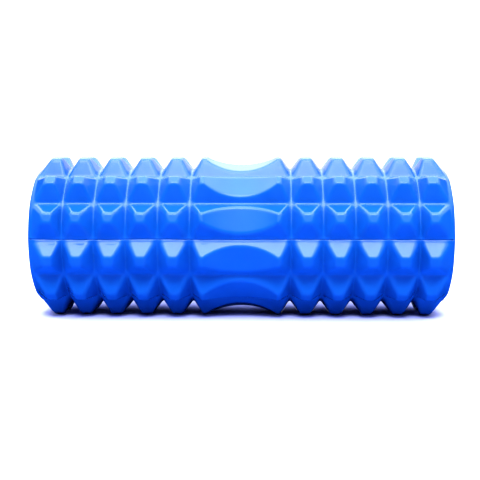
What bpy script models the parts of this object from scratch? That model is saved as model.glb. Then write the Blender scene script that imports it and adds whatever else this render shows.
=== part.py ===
"""Textured foam roller: two moulded foam half-sleeves glued round a rigid hollow core tube.

The roller's axis lies along X and passes through the origin. Around the roller run
twelve rows of blunt four-sided spikes, and the middle cell of each row is a long saddle.
Run with: blender --background --python part.py
"""

from math import asin, atan2, cos, hypot, pi, radians, sin, sqrt

import bmesh
import bpy

# Driving dimensions, in metres.
LENGTH = 0.330
TIP_RADIUS = 0.0650  # axis to the flat end of a spike
GROOVE_RADIUS = 0.0534  # axis to the bottom of the grooves
ROWS = 12
SPIKES_PER_SIDE = 5  # spikes on each side of the saddle, in one row
SPIKE_PITCH = 0.0247
TIP_HALF_WIDTH = 0.0040

SADDLE_HALF_LENGTH = 0.0391  # middle of the roller to the saddle's end groove
SADDLE_TIP_OUTER = 0.0312  # the narrow flats at the saddle's two ends
SADDLE_TIP_INNER = 0.0284
SADDLE_DEPTH = 0.0082
SADDLE_STEPS = 12

END_BASE_X = 0.1620  # foot of the last spike's outer face
END_TIP_INSET = 0.0022  # the last spike's tip leans this far inwards from the middle of its foot
END_EDGE_DROP = 0.0054  # the rounded edge comes this far down the end face
END_EDGE_STEPS = 3

CORE_RADIUS = 0.0440
CORE_WALL = 0.0030
CORE_RECESS = 0.0010  # the tube stops this far short of each end face
CORE_CHAMFER = 0.0006
CORE_SEGMENTS = 72

GAP = 0.0003  # glue film between touching pieces
BORE_STEPS_PER_ROW = 3

ROW_ANGLE = 2 * pi / ROWS
ROWS_PER_HALF = ROWS // 2
FLANK_RUN = (GROOVE_RADIUS * sin(ROW_ANGLE / 2) - TIP_HALF_WIDTH) / (
    TIP_RADIUS - GROOVE_RADIUS * cos(ROW_ANGLE / 2)
)  # sideways run of a spike's flank for each unit of its fall

EVA_BLUE = (0.011, 0.130, 0.838, 1.0)
CORE_BLACK = (0.020, 0.020, 0.022, 1.0)


def clear_scene():
    for obj in list(bpy.data.objects):
        bpy.data.objects.remove(obj, do_unlink=True)


def make_material(name, colour, roughness):
    material = bpy.data.materials.new(name)
    material.use_nodes = True
    shader = material.node_tree.nodes["Principled BSDF"]
    shader.inputs["Base Color"].default_value = colour
    shader.inputs["Roughness"].default_value = roughness
    shader.inputs["Metallic"].default_value = 0.0
    return material


def saddle_sag(x):
    """Depth of the saddle's arc below the tips, at x from the roller's middle."""
    chord = SADDLE_TIP_INNER
    arc_radius = (chord**2 + SADDLE_DEPTH**2) / (2 * SADDLE_DEPTH)
    return sqrt(arc_radius**2 - x**2) - (arc_radius - SADDLE_DEPTH)


def right_stations():
    """(x, depth of the ridge below the tips, or None in a groove), from the saddle outwards."""
    stations = []
    for step in range(1, SADDLE_STEPS // 2 + 1):
        x = SADDLE_TIP_INNER * step / (SADDLE_STEPS // 2)
        stations.append((x, saddle_sag(x)))
    stations.append((SADDLE_TIP_OUTER, 0.0))
    stations.append((SADDLE_HALF_LENGTH, None))
    for spike in range(SPIKES_PER_SIDE):
        near_groove = SADDLE_HALF_LENGTH + spike * SPIKE_PITCH
        far_groove = near_groove + SPIKE_PITCH
        tip = near_groove + SPIKE_PITCH / 2
        if spike == SPIKES_PER_SIDE - 1:
            far_groove = END_BASE_X
            tip = (near_groove + END_BASE_X) / 2 - END_TIP_INSET
        stations.append((tip - TIP_HALF_WIDTH, 0.0))
        stations.append((tip + TIP_HALF_WIDTH, 0.0))
        stations.append((far_groove, None))
    return stations


def all_stations():
    right = right_stations()
    left = [(-x, depth) for x, depth in reversed(right)]
    return left + [(0.0, saddle_sag(0.0))] + right


def row_ring(x, depth, middle):
    """Four (x, radius, angle) points across one row: groove, ridge, ridge, groove."""
    if depth is None:
        side = atan2(TIP_HALF_WIDTH, TIP_RADIUS)
        ridge_radius = GROOVE_RADIUS
    else:
        half_width = TIP_HALF_WIDTH + FLANK_RUN * depth
        side = atan2(half_width, TIP_RADIUS - depth)
        ridge_radius = hypot(half_width, TIP_RADIUS - depth)
    return [
        (x, GROOVE_RADIUS, middle - ROW_ANGLE / 2),
        (x, ridge_radius, middle - side),
        (x, ridge_radius, middle + side),
        (x, GROOVE_RADIUS, middle + ROW_ANGLE / 2),
    ]


def outer_ring(x, depth):
    """The points of one station round half of the roller, from angle 0 to 180 degrees."""
    ring = []
    for row in range(ROWS_PER_HALF):
        points = row_ring(x, depth, (row + 0.5) * ROW_ANGLE)
        ring += points if row == 0 else points[1:]
    return ring


def end_rings(sign):
    """Rings of the rounded edge, from the last spike's foot down to the flat end face."""
    run = LENGTH / 2 - END_BASE_X
    rings = []
    for step in range(1, END_EDGE_STEPS + 1):
        turn = (pi / 2) * step / END_EDGE_STEPS
        x = END_BASE_X + run * sin(turn)
        radius = GROOVE_RADIUS - END_EDGE_DROP * (1 - cos(turn))
        flat = outer_ring(sign * x, None)
        rings.append([(px, radius, angle) for px, _, angle in flat])
    return rings


def bore_ring(x):
    """A bore ring with as many points as an outer ring, evenly spaced over half a turn."""
    count = ROWS_PER_HALF * BORE_STEPS_PER_ROW
    radius = (CORE_RADIUS + GAP) / cos(pi / (2 * count))
    return [(x, radius, pi * step / count) for step in range(count + 1)]


def place(point, seam_shift):
    """Cylinder coordinates to world ones. Angle 0 faces -Y, and the half starts and ends at its seam."""
    x, radius, angle = point
    seam = asin(seam_shift / radius)
    angle = min(max(angle, seam), pi - seam)
    return (x, -radius * cos(angle), radius * sin(angle))


def spike_corner(mesh, groove_groove, groove_ridge, ridge, ridge_groove):
    """Two triangles split along the spike's slanting corner edge."""
    mesh.faces.new((groove_groove, groove_ridge, ridge))
    mesh.faces.new((groove_groove, ridge, ridge_groove))


def skin_between(mesh, here, there, here_is_groove, there_is_groove):
    """Faces between two neighbouring outer rings."""
    for index in range(len(here) - 1):
        a, b = here[index], here[index + 1]
        c, d = there[index], there[index + 1]
        place_in_row = index % 3
        if here_is_groove == there_is_groove or place_in_row == 1:
            mesh.faces.new((a, b, d, c))
        elif here_is_groove and place_in_row == 0:
            spike_corner(mesh, a, b, d, c)
        elif here_is_groove:
            spike_corner(mesh, b, a, c, d)
        elif place_in_row == 0:
            spike_corner(mesh, c, d, b, a)
        else:
            spike_corner(mesh, d, c, a, b)


def make_half_sleeve(name, material):
    """The upper half-sleeve, six rows from seam to seam, closed along its bore, ends and seams."""
    mesh = bmesh.new()
    stations = all_stations()
    left_end = list(reversed(end_rings(-1)))
    right_end = end_rings(1)
    rings = left_end + [outer_ring(x, depth) for x, depth in stations] + right_end
    is_groove = [True] * len(left_end) + [depth is None for _, depth in stations] + [True] * len(right_end)
    outer = [[mesh.verts.new(place(point, GAP / 2)) for point in ring] for ring in rings]
    for index in range(len(outer) - 1):
        skin_between(mesh, outer[index], outer[index + 1], is_groove[index], is_groove[index + 1])

    bore = [
        [mesh.verts.new(place(point, GAP / 2)) for point in bore_ring(sign * LENGTH / 2)]
        for sign in (-1, 1)
    ]
    for index in range(len(bore[0]) - 1):
        mesh.faces.new((bore[0][index], bore[0][index + 1], bore[1][index + 1], bore[1][index]))
        mesh.faces.new((bore[0][index], bore[0][index + 1], outer[0][index + 1], outer[0][index]))
        mesh.faces.new((bore[1][index], bore[1][index + 1], outer[-1][index + 1], outer[-1][index]))
    for edge in (0, -1):
        mesh.faces.new([bore[0][edge], bore[1][edge]] + [ring[edge] for ring in reversed(outer)])

    bmesh.ops.recalc_face_normals(mesh, faces=mesh.faces)
    data = bpy.data.meshes.new(name)
    mesh.to_mesh(data)
    mesh.free()
    data.materials.append(material)
    half = bpy.data.objects.new(name, data)
    bpy.context.collection.objects.link(half)
    return half


def make_sleeve():
    """Both halves share one mould, so the lower half is the upper one turned over."""
    foam = make_material("eva_foam_blue", EVA_BLUE, 0.38)
    make_half_sleeve("sleeve_upper_half", foam)
    lower = make_half_sleeve("sleeve_lower_half", foam)
    lower.rotation_euler = (pi, 0.0, 0.0)


def make_core_tube():
    """Rigid tube turned from its wall's chamfered cross-section."""
    outer, inner = CORE_RADIUS, CORE_RADIUS - CORE_WALL
    end = LENGTH / 2 - CORE_RECESS
    profile = [
        (end - CORE_CHAMFER, outer),
        (end, outer - CORE_CHAMFER),
        (end, inner + CORE_CHAMFER),
        (end - CORE_CHAMFER, inner),
    ]
    profile += [(-x, radius) for x, radius in reversed(profile)]
    mesh = bmesh.new()
    corners = [mesh.verts.new((x, 0.0, radius)) for x, radius in profile]
    edges = [mesh.edges.new((corners[i - 1], corners[i])) for i in range(len(corners))]
    bmesh.ops.spin(
        mesh,
        geom=corners + edges,
        cent=(0.0, 0.0, 0.0),
        axis=(1.0, 0.0, 0.0),
        angle=radians(360.0),
        steps=CORE_SEGMENTS,
        use_merge=True,
    )
    bmesh.ops.recalc_face_normals(mesh, faces=mesh.faces)
    data = bpy.data.meshes.new("core_tube")
    mesh.to_mesh(data)
    mesh.free()
    data.shade_smooth()
    data.set_sharp_from_angle(angle=radians(30.0))
    data.materials.append(make_material("core_plastic_black", CORE_BLACK, 0.45))
    bpy.context.collection.objects.link(bpy.data.objects.new("core_tube", data))


clear_scene()
make_sleeve()
make_core_tube()
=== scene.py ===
from math import cos, pi, radians, sin

import bmesh
import bpy
import numpy as np
from mathutils import Matrix, Vector, noise


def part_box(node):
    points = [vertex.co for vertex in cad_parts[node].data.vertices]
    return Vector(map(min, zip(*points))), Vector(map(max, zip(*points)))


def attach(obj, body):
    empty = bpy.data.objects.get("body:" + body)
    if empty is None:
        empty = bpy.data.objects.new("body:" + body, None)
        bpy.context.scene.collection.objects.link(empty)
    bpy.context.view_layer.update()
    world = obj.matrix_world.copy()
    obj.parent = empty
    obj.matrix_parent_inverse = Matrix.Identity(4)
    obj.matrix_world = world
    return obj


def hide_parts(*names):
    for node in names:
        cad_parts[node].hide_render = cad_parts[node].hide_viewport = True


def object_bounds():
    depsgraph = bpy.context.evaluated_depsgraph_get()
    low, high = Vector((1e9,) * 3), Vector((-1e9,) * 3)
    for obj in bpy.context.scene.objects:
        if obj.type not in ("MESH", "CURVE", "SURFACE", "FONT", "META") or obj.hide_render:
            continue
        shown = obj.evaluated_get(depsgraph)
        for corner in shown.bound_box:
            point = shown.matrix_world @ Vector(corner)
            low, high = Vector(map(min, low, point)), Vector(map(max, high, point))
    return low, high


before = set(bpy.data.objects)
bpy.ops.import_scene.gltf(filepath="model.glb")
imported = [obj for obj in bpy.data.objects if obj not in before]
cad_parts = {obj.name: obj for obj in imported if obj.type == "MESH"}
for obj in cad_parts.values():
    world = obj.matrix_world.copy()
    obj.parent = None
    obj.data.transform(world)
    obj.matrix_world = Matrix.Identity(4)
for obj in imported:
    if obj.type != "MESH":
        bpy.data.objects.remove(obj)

cad_low, cad_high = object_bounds()

# ---------------------------------------------------------------- driving sizes, in metres
# The roller's axis lies along X. Angle 0 round the axis faces -Y, and 90 degrees is up.
MM = 0.001
HALF_LENGTH = cad_high.x
ROWS = 12
ROW_ANGLE = 2 * pi / ROWS
ROWS_PER_HALF = ROWS // 2
TIP_HALF_WIDTH = 4.0 * MM
TIP_RADIUS = (cad_high.z - TIP_HALF_WIDTH * sin(ROW_ANGLE / 2)) / cos(ROW_ANGLE / 2)
GROOVE_RADIUS = 53.0 * MM
ROW_GROOVE_RADIUS = 54.4 * MM
SPIKES_PER_SIDE = 5
SPIKE_PITCH = 24.7 * MM
SADDLE_HALF_LENGTH = 39.1 * MM
SADDLE_TIP_OUTER = 31.2 * MM
SADDLE_TIP_INNER = 28.4 * MM
SADDLE_DEPTH = 8.2 * MM
SADDLE_STEPS = 12
END_BASE_X = 162.0 * MM
END_TIP_INSET = 2.2 * MM
RIM_RADIUS = 53.4 * MM
END_EDGE_DROP = 5.8 * MM
CORE_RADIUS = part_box("core_tube")[1].z
CORE_WALL = 3.0 * MM
CORE_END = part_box("core_tube")[1].x
CORE_EDGE_ROUND = 0.7 * MM
CORE_SEGMENTS = 144
GLUE_GAP = 0.3 * MM
BORE_EDGE = 0.6 * MM  # size of the softened edge between an end face and the bore

# Rounding of the moulded foam. Each value is the height over which two faces blend.
TIP_EDGE_BLEND = 1.9 * MM
RIDGE_BLEND = 4.0 * MM
ROW_GROOVE_BLEND = 2.2 * MM
RING_GROOVE_BLEND = 4.2 * MM
RIM_BLEND = 2.0 * MM

# The mesh has extra lines this far from each edge, so that the rounding is smooth.
EDGE_SPACING = 2.0 * MM
GROOVE_SPACING = 2.4 * MM
SEAM_SPACING = 0.8 * MM
FLANK_LENGTH = 15.0 * MM
SMOOTH_LEVELS = 2
SAME_POINT = 0.01 * MM

FLANK_RUN = (ROW_GROOVE_RADIUS * sin(ROW_ANGLE / 2) - TIP_HALF_WIDTH) / (
    TIP_RADIUS - ROW_GROOVE_RADIUS * cos(ROW_ANGLE / 2)
)
RIM_START_X = END_BASE_X - SPIKE_PITCH / 4  # from here outwards the skin never falls below the rim
SKIN_MARGIN = 0.5 * MM  # smoothed points this close to the skin still count as skin
FLOOR_Z = cad_low.z
FLOOR_HALF_SIZE = 6.0

# How far across an end flank a point lies depends on its height, and its height on how far
# across it lies, so the two are worked out in a few rounds.
FLANK_ROUNDS = 4
FLANK_MIN_HALF_WIDTH = 1.0 * MM
FLANK_REACH = 1.5  # the flank's surface carries on past its edges, to this many half widths

# The glued joint between the halves: a fine gap that wanders, with a raised bead along each lip.
JOINT_GAP = 0.05 * MM
JOINT_BEAD_PLACE = 0.9 * MM
JOINT_BEAD_WIDTH = 0.45 * MM
JOINT_BEAD_HEIGHT = 0.38 * MM
JOINT_CORNER = 0.08 * MM  # the very edge of each lip falls away by this much
WAVE_REACH = 3.0 * MM  # the skin follows the wandering joint this far from it
WANDER_HEIGHT = 0.50 * MM
WANDER_FREQUENCY = 22
WANDER_LINE = (3.1, 0.7)  # the line through the noise that the wander is read along
RIPPLE_HEIGHT = 0.20 * MM
RIPPLE_FREQUENCY = 90
RIPPLE_LINE = (8.3, 2.2)

# Colours are linear. Each pair is the low and the high end of a noise.
FOAM_COLOURS = ((0.006, 0.100, 0.390, 1.0), (0.009, 0.114, 0.430, 1.0))
FOAM_ROUGHNESS = (0.12, 0.16)
FOAM_IOR = 1.55
CORE_GREYS = (0.014, 0.026)
CORE_ROUGHNESS = (0.38, 0.50)
FLOOR_TINT = (0.53, 0.57, 0.96, 1.0)
FLOOR_ROUGHNESS = 0.8

# The room's brightness by height, where 0 is the horizon and 1 is straight up. It is dark up to
# ROOM_LOW and bright from ROOM_HIGH, and it fades out below the horizon.
HORIZON_LOW = -0.10
HORIZON_HIGH = 0.02
ROOM_LOW = 0.28
ROOM_HIGH = 0.50
ROOM_DARK = 0.04
ROOM_BRIGHT = 1.3
BACKDROP_WHITE = 1.0

# The camera points at the roller's middle, and is then slid aside and down without turning.
CAMERA_DISTANCE = 0.820
CAMERA_ELEVATION = radians(4.4)
CAMERA_TURN = radians(1.5)
CAMERA_ASIDE = -1.6 * MM
CAMERA_RAISE = -4.3 * MM
CAMERA_LENS = 75.0
CAMERA_SENSOR = 36.0


# ---------------------------------------------------------------- foam sleeve
def saddle_sag(x):
    """Depth of the saddle's arc below the tips, at x from the roller's middle."""
    chord = SADDLE_TIP_INNER
    arc_radius = (chord**2 + SADDLE_DEPTH**2) / (2 * SADDLE_DEPTH)
    return np.sqrt(arc_radius**2 - x**2) - (arc_radius - SADDLE_DEPTH)


def soft_min(a, b, blend):
    """The lower of two heights, with the corner between them rounded off."""
    share = np.clip(0.5 + 0.5 * (b - a) / blend, 0, 1)
    return b * (1 - share) + a * share - blend * share * (1 - share)


def soft_max(a, b, blend):
    """The higher of two heights, with the corner between them rounded off."""
    return -soft_min(-a, -b, blend)


def spike_ends(spike):
    """(near groove, middle of the tip, far groove) x positions of one spike of the right side."""
    near = SADDLE_HALF_LENGTH + spike * SPIKE_PITCH
    if spike == SPIKES_PER_SIDE - 1:
        return near, (near + END_BASE_X) / 2 - END_TIP_INSET, END_BASE_X
    return near, near + SPIKE_PITCH / 2, near + SPIKE_PITCH


def cell_spans():
    """(groove, tip, tip, groove) x positions of each cell, from the left end to the right end."""
    right = []
    for spike in range(SPIKES_PER_SIDE):
        near, middle, far = spike_ends(spike)
        right.append((near, middle - TIP_HALF_WIDTH, middle + TIP_HALF_WIDTH, far))
    left = [tuple(-x for x in reversed(span)) for span in reversed(right)]
    saddle = (-SADDLE_HALF_LENGTH, -SADDLE_TIP_OUTER, SADDLE_TIP_OUTER, SADDLE_HALF_LENGTH)
    return left + [saddle] + right


def flank_radius(x, turn, groove, tip):
    """The radius of a cell's end flank, which climbs from a ring groove to the tip's edge."""
    climb = (x - groove) / (tip - groove)
    half_base = GROOVE_RADIUS * sin(ROW_ANGLE / 2)
    height = np.full_like(x, TIP_RADIUS)
    half_width = half_base + (TIP_HALF_WIDTH - half_base) * climb
    half_width = np.maximum(half_width, FLANK_MIN_HALF_WIDTH)
    for _ in range(FLANK_ROUNDS):
        across = np.clip(height * np.tan(np.abs(turn)) / half_width, 0, FLANK_REACH)
        height = (1 - climb) * GROOVE_RADIUS * np.cos(across * ROW_ANGLE / 2) + climb * TIP_RADIUS
    return height / np.cos(turn)


def row_radius(x, turn):
    """The radius of one whole row's surface, at x and at an angle from the row's middle."""
    cosine = np.cos(turn)
    side = (TIP_HALF_WIDTH + FLANK_RUN * TIP_RADIUS) / (np.abs(np.sin(turn)) + FLANK_RUN * cosine)
    result = None
    for groove, tip, far_tip, far_groove in cell_spans():
        ends = soft_min(
            flank_radius(x, turn, groove, tip), flank_radius(x, turn, far_groove, far_tip), RIDGE_BLEND
        )
        is_saddle = groove < 0 < far_groove
        inside = np.clip(x, -SADDLE_TIP_INNER, SADDLE_TIP_INNER)
        depth = saddle_sag(inside) if is_saddle else 0.0
        top = (TIP_RADIUS - depth) / cosine
        cell = soft_min(soft_min(side, ends, RIDGE_BLEND), top, TIP_EDGE_BLEND)
        result = cell if result is None else soft_max(result, cell, RING_GROOVE_BLEND)
    return result


def skin_radius(x, angle):
    """The radius of the moulded skin: this row, blended with the next one across the groove."""
    row = np.floor(angle / ROW_ANGLE)
    turn = angle - (row + 0.5) * ROW_ANGLE
    other_turn = ROW_ANGLE - np.abs(turn)
    skin = soft_max(row_radius(x, turn), row_radius(x, other_turn), ROW_GROOVE_BLEND)
    rim = np.where(np.abs(x) > RIM_START_X, RIM_RADIUS, 0.0)
    return soft_max(skin, rim, RIM_BLEND)


def split_side(length, spacing):
    """Fractions along a side: its two corners, a point near each, and its middle."""
    near = spacing / length
    return [0.0, near, 0.5, 1 - near, 1.0]


def spike_columns(near_groove, middle, far_groove):
    """(x on the groove, x on the tip, depth of the tip) for each line across a spike."""
    on_base = split_side(far_groove - near_groove, GROOVE_SPACING)
    on_tip = split_side(2 * TIP_HALF_WIDTH, EDGE_SPACING)
    return [
        (near_groove + (far_groove - near_groove) * base, middle + TIP_HALF_WIDTH * (2 * tip - 1), 0.0)
        for base, tip in zip(on_base, on_tip)
    ]


def saddle_columns():
    """The same lines for the saddle, with more of them along its arc."""
    half = []
    for step in range(SADDLE_STEPS // 2 + 1):
        x = SADDLE_TIP_INNER * step / (SADDLE_STEPS // 2)
        base_x = x * (SADDLE_HALF_LENGTH - GROOVE_SPACING) / SADDLE_TIP_OUTER
        half.append((base_x, x, saddle_sag(x)))
    near_end = SADDLE_TIP_OUTER - EDGE_SPACING
    half.append((SADDLE_HALF_LENGTH - GROOVE_SPACING, near_end, 0.0))
    half.append((SADDLE_HALF_LENGTH, SADDLE_TIP_OUTER, 0.0))
    return [(-base, -tip, depth) for base, tip, depth in reversed(half[1:])] + half


def all_cells():
    """The columns of each cell of one row, from the left end to the right end."""
    right = []
    for spike in range(SPIKES_PER_SIDE):
        right.append(spike_columns(*spike_ends(spike)))
    left = [
        [(-base, -tip, depth) for base, tip, depth in reversed(columns)]
        for columns in reversed(right)
    ]
    return left + [saddle_columns()] + right


def row_point(x, height, side, middle):
    """A point height above the axis and side across the row whose middle angle is given."""
    return (
        x,
        -height * cos(middle) + side * sin(middle),
        height * sin(middle) + side * cos(middle),
    )


def cell_cage(mesh, columns, middle):
    """One spike or saddle as rings of quads that climb from the grooves to the tip."""
    across = split_side(ROW_ANGLE * GROOVE_RADIUS, GROOVE_SPACING)
    tip_across = split_side(2 * TIP_HALF_WIDTH, EDGE_SPACING)
    last_column, last_row = len(columns) - 1, len(across) - 1

    def base_point(i, j):
        angle = ROW_ANGLE * (across[j] - 0.5)
        return columns[i][0], GROOVE_RADIUS * cos(angle), GROOVE_RADIUS * sin(angle)

    def tip_point(i, j):
        _, x, depth = columns[i]
        half_width = TIP_HALF_WIDTH + FLANK_RUN * depth
        return x, TIP_RADIUS - depth, half_width * (2 * tip_across[j] - 1)

    rim = [(i, 0) for i in range(last_column)]
    rim += [(last_column, j) for j in range(last_row)]
    rim += [(i, last_row) for i in range(last_column, 0, -1)]
    rim += [(0, j) for j in range(last_row, 0, -1)]

    climbs = (0.0, GROOVE_SPACING / FLANK_LENGTH, 1 - EDGE_SPACING / FLANK_LENGTH)
    rings = []
    for climb in climbs:
        ring = []
        for i, j in rim:
            low, high = base_point(i, j), tip_point(i, j)
            mixed = [a + (b - a) * climb for a, b in zip(low, high)]
            ring.append(mesh.verts.new(row_point(*mixed, middle)))
        rings.append(ring)
    tip = {}
    for i in range(last_column + 1):
        for j in range(last_row + 1):
            tip[i, j] = mesh.verts.new(row_point(*tip_point(i, j), middle))
    rings.append([tip[key] for key in rim])
    count = len(rim)
    for low, high in zip(rings, rings[1:]):
        for k in range(count):
            n = (k + 1) % count
            mesh.faces.new((low[k], low[n], high[n], high[k]))
    for i in range(last_column):
        for j in range(last_row):
            mesh.faces.new((tip[i, j], tip[i + 1, j], tip[i + 1, j + 1], tip[i, j + 1]))


def body_profile():
    """(x, radius) points of the right end's plain parts: rounded rim, end face, bore edge."""
    run = HALF_LENGTH - END_BASE_X
    points = []
    for degrees in (22.5, 45, 67.5, 90):
        turn = radians(degrees)
        points.append((END_BASE_X + run * sin(turn), RIM_RADIUS - END_EDGE_DROP * (1 - cos(turn))))
    bore = CORE_RADIUS + GLUE_GAP
    points.append((HALF_LENGTH, bore + 2 * BORE_EDGE))
    points.append((HALF_LENGTH, bore + BORE_EDGE / 2))
    points.append((HALF_LENGTH - BORE_EDGE / 2, bore))
    points.append((HALF_LENGTH - 2 * BORE_EDGE, bore))
    return points


def half_angles():
    """The angles of the lines along half the roller, from seam to seam."""
    across = split_side(ROW_ANGLE * GROOVE_RADIUS, GROOVE_SPACING)
    angles = [0.0]
    for row in range(ROWS_PER_HALF):
        angles += [(row + share) * ROW_ANGLE for share in across[1:]]
    return angles


def turned_point(x, radius, angle):
    """A point at a radius and an angle round the roller's axis."""
    return (x, -radius * cos(angle), radius * sin(angle))


def sheet_of_quads(mesh, grid):
    """Joins neighbouring points of a grid with quads."""
    verts = [[mesh.verts.new(point) for point in line] for line in grid]
    for here, there in zip(verts, verts[1:]):
        for k in range(len(here) - 1):
            mesh.faces.new((here[k], here[k + 1], there[k + 1], there[k]))


def seam_lines():
    """x of every line that crosses the seam, from the left end to the right end."""
    xs = [base for columns in all_cells() for base, _, _ in columns]
    return sorted(set(round(x, 9) for x in xs))


def half_sleeve_cage():
    """A closed cage for the upper half-sleeve, ready to be smoothed."""
    mesh = bmesh.new()
    for row in range(ROWS_PER_HALF):
        for columns in all_cells():
            cell_cage(mesh, columns, (row + 0.5) * ROW_ANGLE)
    angles = half_angles()
    profile = [(END_BASE_X, GROOVE_RADIUS)] + body_profile()
    for sign in (-1, 1):
        end = [[turned_point(sign * x, radius, a) for a in angles] for x, radius in profile]
        sheet_of_quads(mesh, end)
    end_x, bore = body_profile()[-1]
    lines = [-end_x] + seam_lines() + [end_x]
    sheet_of_quads(mesh, [[turned_point(x, bore, a) for a in angles] for x in lines])
    # The two flat seam faces, each with a many-sided face at both ends.
    radii = (GROOVE_RADIUS, GROOVE_RADIUS - SEAM_SPACING, (GROOVE_RADIUS + bore) / 2, bore)
    for angle in (0.0, pi):
        seam = [[turned_point(x, radius, angle) for radius in radii] for x in seam_lines()]
        sheet_of_quads(mesh, seam)
        for sign in (-1, 1):
            outline = [turned_point(sign * x, radius, angle) for x, radius in profile]
            inner = [turned_point(sign * END_BASE_X, radius, angle) for radius in radii[1:]]
            mesh.faces.new([mesh.verts.new(point) for point in outline + inner[::-1]])
    bmesh.ops.remove_doubles(mesh, verts=mesh.verts, dist=SAME_POINT)
    bmesh.ops.recalc_face_normals(mesh, faces=mesh.faces)
    keep_seam_edges_sharp(mesh)
    return mesh


def keep_seam_edges_sharp(mesh):
    """Creases the outline of both seam faces, so that the two halves meet edge to edge."""
    crease = mesh.edges.layers.float.new("crease_edge")
    for edge in mesh.edges:
        on_seam = all(abs(vert.co.z) < SAME_POINT for vert in edge.verts)
        is_corner = edge.calc_face_angle(0.0) > radians(60)
        if on_seam and is_corner:
            edge[crease] = 1.0


def seam_wave(x):
    """How far the glued joint wanders from the straight, at x along the roller."""
    wander = noise.noise(Vector((x * WANDER_FREQUENCY, *WANDER_LINE))) * WANDER_HEIGHT
    ripple = noise.noise(Vector((x * RIPPLE_FREQUENCY, *RIPPLE_LINE))) * RIPPLE_HEIGHT
    return wander + ripple


def finish_surface(points, flip):
    """Puts the smoothed points on the moulded skin, and shapes the joint between the halves."""
    x, y, z = points.T
    radius = np.hypot(y, z)
    angle = np.clip(np.arctan2(z, -y), 0, pi)
    is_skin = (radius > GROOVE_RADIUS - SKIN_MARGIN) & (np.abs(x) < END_BASE_X + SKIN_MARGIN)
    bead = np.exp(-(((z - JOINT_BEAD_PLACE) / JOINT_BEAD_WIDTH) ** 2)) * JOINT_BEAD_HEIGHT
    corner = np.exp(-z / JOINT_CORNER) * JOINT_CORNER
    radius = np.where(is_skin, skin_radius(x, angle) + bead - corner, radius)
    wave = np.array([seam_wave(along) for along in x])
    near_seam = np.exp(-((z / WAVE_REACH) ** 2))
    y = -radius * np.cos(angle)
    z = radius * np.sin(angle) + near_seam * (wave * flip + JOINT_GAP / 2)
    return np.stack([x, y, z], axis=1)


def smoothed(mesh, name):
    """The cage after subdivision, as plain mesh data."""
    data = bpy.data.meshes.new(name + "_cage")
    mesh.to_mesh(data)
    mesh.free()
    holder = bpy.data.objects.new(name + "_cage", data)
    bpy.context.collection.objects.link(holder)
    smooth = holder.modifiers.new("smooth", "SUBSURF")
    smooth.levels = SMOOTH_LEVELS
    smooth.render_levels = SMOOTH_LEVELS
    graph = bpy.context.evaluated_depsgraph_get()
    result = bpy.data.meshes.new_from_object(holder.evaluated_get(graph))
    bpy.data.objects.remove(holder, do_unlink=True)
    bpy.data.meshes.remove(data)
    result.name = name
    return result


def make_half_sleeve(name, node, upside_down, material):
    """Both halves share one mould. The lower one is turned over, and its wave is reversed."""
    data = smoothed(half_sleeve_cage(), name)
    flat = np.empty(len(data.vertices) * 3)
    data.vertices.foreach_get("co", flat)
    flip = -1 if upside_down else 1
    moved = finish_surface(flat.reshape(-1, 3), flip)
    if upside_down:
        moved = moved * np.array([1.0, -1.0, -1.0])
    data.vertices.foreach_set("co", moved.reshape(-1))
    data.update()
    data.shade_smooth()
    data.materials.clear()
    data.materials.append(material)
    piece = bpy.data.objects.new(name, data)
    bpy.context.collection.objects.link(piece)
    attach(piece, "root")
    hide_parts(node)


# ---------------------------------------------------------------- core tube
def make_core_tube(material):
    """Extruded plastic tube with rounded end edges."""
    outer, inner, end = CORE_RADIUS, CORE_RADIUS - CORE_WALL, CORE_END
    profile = []
    for centre, start in ((outer - CORE_EDGE_ROUND, 0), (inner + CORE_EDGE_ROUND, 90)):
        for degrees in (0, 30, 60, 90):
            turn = radians(start + degrees)
            x = end - CORE_EDGE_ROUND + CORE_EDGE_ROUND * sin(turn)
            profile.append((x, centre + CORE_EDGE_ROUND * cos(turn)))
    profile += [(-x, radius) for x, radius in reversed(profile)]
    mesh = bmesh.new()
    corners = [mesh.verts.new((x, 0.0, radius)) for x, radius in profile]
    edges = [mesh.edges.new((corners[i - 1], corners[i])) for i in range(len(corners))]
    bmesh.ops.spin(
        mesh,
        geom=corners + edges,
        cent=(0, 0, 0),
        axis=(1, 0, 0),
        angle=2 * pi,
        steps=CORE_SEGMENTS,
        use_merge=True,
    )
    bmesh.ops.recalc_face_normals(mesh, faces=mesh.faces)
    data = bpy.data.meshes.new("core_tube_turned")
    mesh.to_mesh(data)
    mesh.free()
    data.shade_smooth()
    data.set_sharp_from_angle(angle=radians(40))
    data.materials.append(material)
    piece = bpy.data.objects.new("core_tube_turned", data)
    bpy.context.collection.objects.link(piece)
    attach(piece, "root")
    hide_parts("core_tube")


# ---------------------------------------------------------------- materials
def new_material(name):
    material = bpy.data.materials.new(name)
    material.use_nodes = True
    tree = material.node_tree
    return material, tree, tree.nodes["Principled BSDF"]


def noise_texture(tree, scale, detail, stretch=(1, 1, 1)):
    """The value of a noise that is fixed to the object."""
    place = tree.nodes.new("ShaderNodeTexCoord")
    mapping = tree.nodes.new("ShaderNodeMapping")
    mapping.inputs["Scale"].default_value = stretch
    texture = tree.nodes.new("ShaderNodeTexNoise")
    texture.inputs["Scale"].default_value = scale
    texture.inputs["Detail"].default_value = detail
    tree.links.new(place.outputs["Object"], mapping.inputs["Vector"])
    tree.links.new(mapping.outputs["Vector"], texture.inputs["Vector"])
    return texture.outputs["Fac"]


def ramp(tree, source, low, high):
    """A blend between two colours, driven by a texture's value."""
    node = tree.nodes.new("ShaderNodeValToRGB")
    node.color_ramp.elements[0].position = 0.3
    node.color_ramp.elements[0].color = low
    node.color_ramp.elements[1].position = 0.7
    node.color_ramp.elements[1].color = high
    tree.links.new(source, node.inputs["Fac"])
    return node.outputs["Color"]


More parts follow.
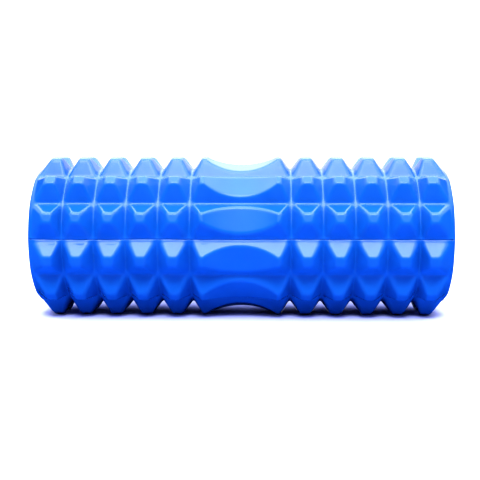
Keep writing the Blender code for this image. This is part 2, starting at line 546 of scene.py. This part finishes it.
def bump(tree, source, strength, distance, under=None):
    """A bumped normal, laid over another one if that is given."""
    node = tree.nodes.new("ShaderNodeBump")
    node.inputs["Strength"].default_value = strength
    node.inputs["Distance"].default_value = distance
    tree.links.new(source, node.inputs["Height"])
    if under is not None:
        tree.links.new(under, node.inputs["Normal"])
    return node.outputs["Normal"]


def grey(value):
    return (value, value, value, 1.0)


def two_greys(tree, source, values):
    """A blend between two greys, or between two plain values such as roughnesses."""
    low, high = values
    return ramp(tree, source, grey(low), grey(high))


def foam_material():
    """Closed-cell EVA with a smooth moulded skin: faint mottling, pores and ripples."""
    material, tree, shader = new_material("eva_foam_skin")
    mottle = noise_texture(tree, scale=45.0, detail=3.0)
    tree.links.new(ramp(tree, mottle, *FOAM_COLOURS), shader.inputs["Base Color"])
    smears = noise_texture(tree, scale=120.0, detail=2.0)
    tree.links.new(two_greys(tree, smears, FOAM_ROUGHNESS), shader.inputs["Roughness"])
    shader.inputs["IOR"].default_value = FOAM_IOR
    waves = noise_texture(tree, scale=60.0, detail=2.0)
    ripples = bump(tree, waves, strength=0.25, distance=0.25 * MM)
    cells = noise_texture(tree, scale=1400.0, detail=2.0)
    pores = bump(tree, cells, strength=0.25, distance=0.03 * MM, under=ripples)
    tree.links.new(pores, shader.inputs["Normal"])
    return material


def core_material():
    """Black extruded plastic with faint drawing lines along the tube."""
    material, tree, shader = new_material("core_plastic_black")
    streaks = noise_texture(tree, scale=400.0, detail=3.0, stretch=(0.02, 1, 1))
    tree.links.new(two_greys(tree, streaks, CORE_GREYS), shader.inputs["Base Color"])
    smears = noise_texture(tree, scale=90.0, detail=2.0)
    tree.links.new(two_greys(tree, smears, CORE_ROUGHNESS), shader.inputs["Roughness"])
    lines = bump(tree, streaks, strength=0.3, distance=0.05 * MM)
    tree.links.new(lines, shader.inputs["Normal"])
    return material


def floor_material():
    """Matt, bluish paper with no shine, so that it only takes the roller's shadow."""
    material, _, shader = new_material("studio_floor")
    shader.inputs["Base Color"].default_value = FLOOR_TINT
    shader.inputs["Specular IOR Level"].default_value = 0.0
    shader.inputs["Roughness"].default_value = FLOOR_ROUGHNESS
    return material


# ---------------------------------------------------------------- stage, light and camera
def make_floor():
    mesh = bmesh.new()
    bmesh.ops.create_grid(mesh, x_segments=1, y_segments=1, size=FLOOR_HALF_SIZE)
    data = bpy.data.meshes.new("floor")
    mesh.to_mesh(data)
    mesh.free()
    data.materials.append(floor_material())
    floor = bpy.data.objects.new("floor", data)
    floor.location.z = FLOOR_Z
    bpy.context.collection.objects.link(floor)
    floor.visible_glossy = False


def softbox(name, spread, tilt, strength, diffuse=True, glossy=True):
    """A round light far away, tilted from straight overhead towards the viewer."""
    lamp = bpy.data.lights.new(name, "SUN")
    lamp.angle = spread
    lamp.energy = strength
    light = bpy.data.objects.new(name, lamp)
    light.rotation_euler.x = tilt
    light.visible_diffuse = diffuse
    light.visible_glossy = glossy
    bpy.context.collection.objects.link(light)


def make_world():
    """A white backdrop, as the camera sees it. For the roller it is a room, brighter overhead."""
    world = bpy.data.worlds.new("studio")
    world.use_nodes = True
    tree = world.node_tree
    back = tree.nodes["Background"]
    place = tree.nodes.new("ShaderNodeTexCoord")
    parts = tree.nodes.new("ShaderNodeSeparateXYZ")
    tree.links.new(place.outputs["Generated"], parts.inputs["Vector"])
    height = tree.nodes.new("ShaderNodeMapRange")
    height.inputs["From Min"].default_value = ROOM_LOW
    height.inputs["From Max"].default_value = ROOM_HIGH
    height.inputs["To Min"].default_value = ROOM_DARK
    height.inputs["To Max"].default_value = ROOM_BRIGHT
    tree.links.new(parts.outputs["Z"], height.inputs["Value"])
    above = tree.nodes.new("ShaderNodeMapRange")
    above.inputs["From Min"].default_value = HORIZON_LOW
    above.inputs["From Max"].default_value = HORIZON_HIGH
    tree.links.new(parts.outputs["Z"], above.inputs["Value"])
    around = tree.nodes.new("ShaderNodeMath")
    around.operation = "MULTIPLY"
    tree.links.new(height.outputs["Result"], around.inputs[0])
    tree.links.new(above.outputs["Result"], around.inputs[1])
    seen = tree.nodes.new("ShaderNodeLightPath")
    strength = tree.nodes.new("ShaderNodeMix")
    tree.links.new(seen.outputs["Is Camera Ray"], strength.inputs["Factor"])
    tree.links.new(around.outputs["Value"], strength.inputs["A"])
    strength.inputs["B"].default_value = BACKDROP_WHITE
    tree.links.new(strength.outputs["Result"], back.inputs["Strength"])
    back.inputs["Color"].default_value = (1, 1, 1, 1)
    scene = bpy.context.scene
    scene.world = world
    scene.view_settings.view_transform = "Standard"
    scene.view_settings.look = "High Contrast"


def make_camera():
    """Looks at the roller's front from a little above."""
    turn, rise = CAMERA_TURN, CAMERA_ELEVATION
    back = Vector((sin(turn) * cos(rise), -cos(turn) * cos(rise), sin(rise)))
    right = Vector((cos(turn), sin(turn), 0))
    up = back.cross(right)
    camera = bpy.data.objects.new("camera", bpy.data.cameras.new("camera"))
    camera.data.lens = CAMERA_LENS
    camera.data.sensor_width = CAMERA_SENSOR
    place = back * CAMERA_DISTANCE + right * CAMERA_ASIDE + up * CAMERA_RAISE
    turned = Matrix((right, up, back)).transposed().to_4x4()
    camera.matrix_world = Matrix.Translation(place) @ turned
    bpy.context.collection.objects.link(camera)
    bpy.context.scene.camera = camera


make_camera()
make_world()
make_floor()
softbox("wide_softbox", spread=radians(88), tilt=radians(1), strength=2.6)
softbox("upper_softbox", spread=radians(36), tilt=radians(27), strength=0.65)
softbox("key_softbox", spread=radians(16), tilt=radians(42), strength=1.7, glossy=False)
softbox("backdrop_glow", spread=radians(60), tilt=radians(-72), strength=0.72, diffuse=False)
foam = foam_material()
make_half_sleeve("foam_sleeve_upper", "sleeve_upper_half", False, foam)
make_half_sleeve("foam_sleeve_lower", "sleeve_lower_half", True, foam)
make_core_tube(core_material())
